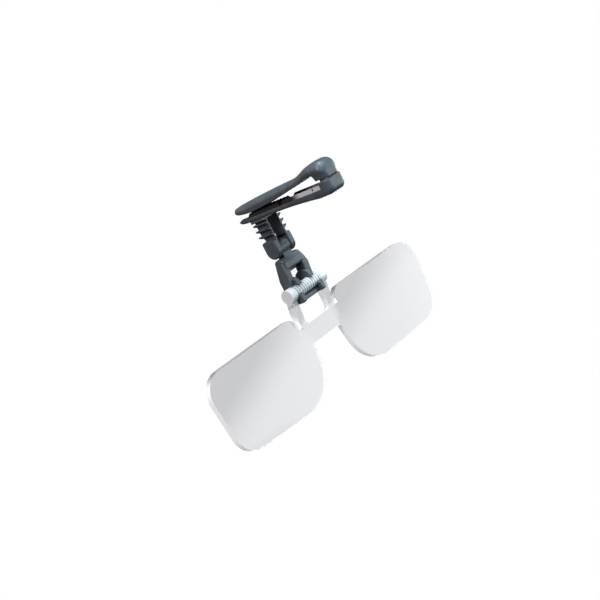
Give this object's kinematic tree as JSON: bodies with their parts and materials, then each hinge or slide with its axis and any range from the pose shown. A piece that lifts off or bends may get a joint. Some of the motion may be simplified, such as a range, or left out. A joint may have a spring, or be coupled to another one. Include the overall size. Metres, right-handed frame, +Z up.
{
  "type": "clip-on hat magnifier",
  "caption": "Clip-on magnifier for a hat brim: a sprung plastic clip, a ribbed stem, a flip-up hinge link and a clear one-piece pair of lenses that tilts on a rod.",
  "frame": {"origin": "in the mouth of the clip, midway between the grip pads and above the stem", "axes": "+X along the pair of lenses, -Y forward, away from the wearer, +Z up"},
  "size_m": [0.1142, 0.0469, 0.0732],
  "materials": {
    "slate_plastic": "satin moulded",
    "black_rubber": "matt ribbed",
    "spring_steel": "bright rolled",
    "clear_acrylic": "polished, clear"
  },
  "bodies": {
    "lower_clip": {"lower_jaw": "slate_plastic", "lower_grip_pad": "black_rubber", "ribbed_stem": "slate_plastic", "spring_channel": "spring_steel", "channel_pin": "spring_steel", "lower_spring_rivet": "spring_steel", "leaf_spring": "spring_steel", "flip_pin": "spring_steel"},
    "upper_clip": {"upper_jaw": "slate_plastic", "upper_grip_pad": "black_rubber", "upper_spring_rivet": "spring_steel", "jaw_hinge_pin": "spring_steel"},
    "link": {"hinge_link": "slate_plastic", "lens_retainer": "slate_plastic"},
    "lens": {"magnifier_lens": "clear_acrylic"}
  },
  "joints": [
    {"name": "jaw_open", "type": "hinge", "parent": "lower_clip", "child": "upper_clip", "pos_m": [0, -0.0338, 0.0011], "axis": [1, 0, 0], "range_deg": [0, 12], "stiffness_Nm_per_rad": 0.6, "springref_deg": -11.46, "deforming": ["leaf_spring"]},
    {"name": "lens_flip", "type": "hinge", "parent": "lower_clip", "child": "link", "pos_m": [0, 0.001, -0.0147], "axis": [-1, 0, 0], "range_deg": [-15, 85]},
    {"name": "lens_tilt", "type": "hinge", "parent": "link", "child": "lens", "pos_m": [0, -0.0003, -0.03], "axis": [-1, 0, 0], "range_deg": [-20, 20]}
  ]
}
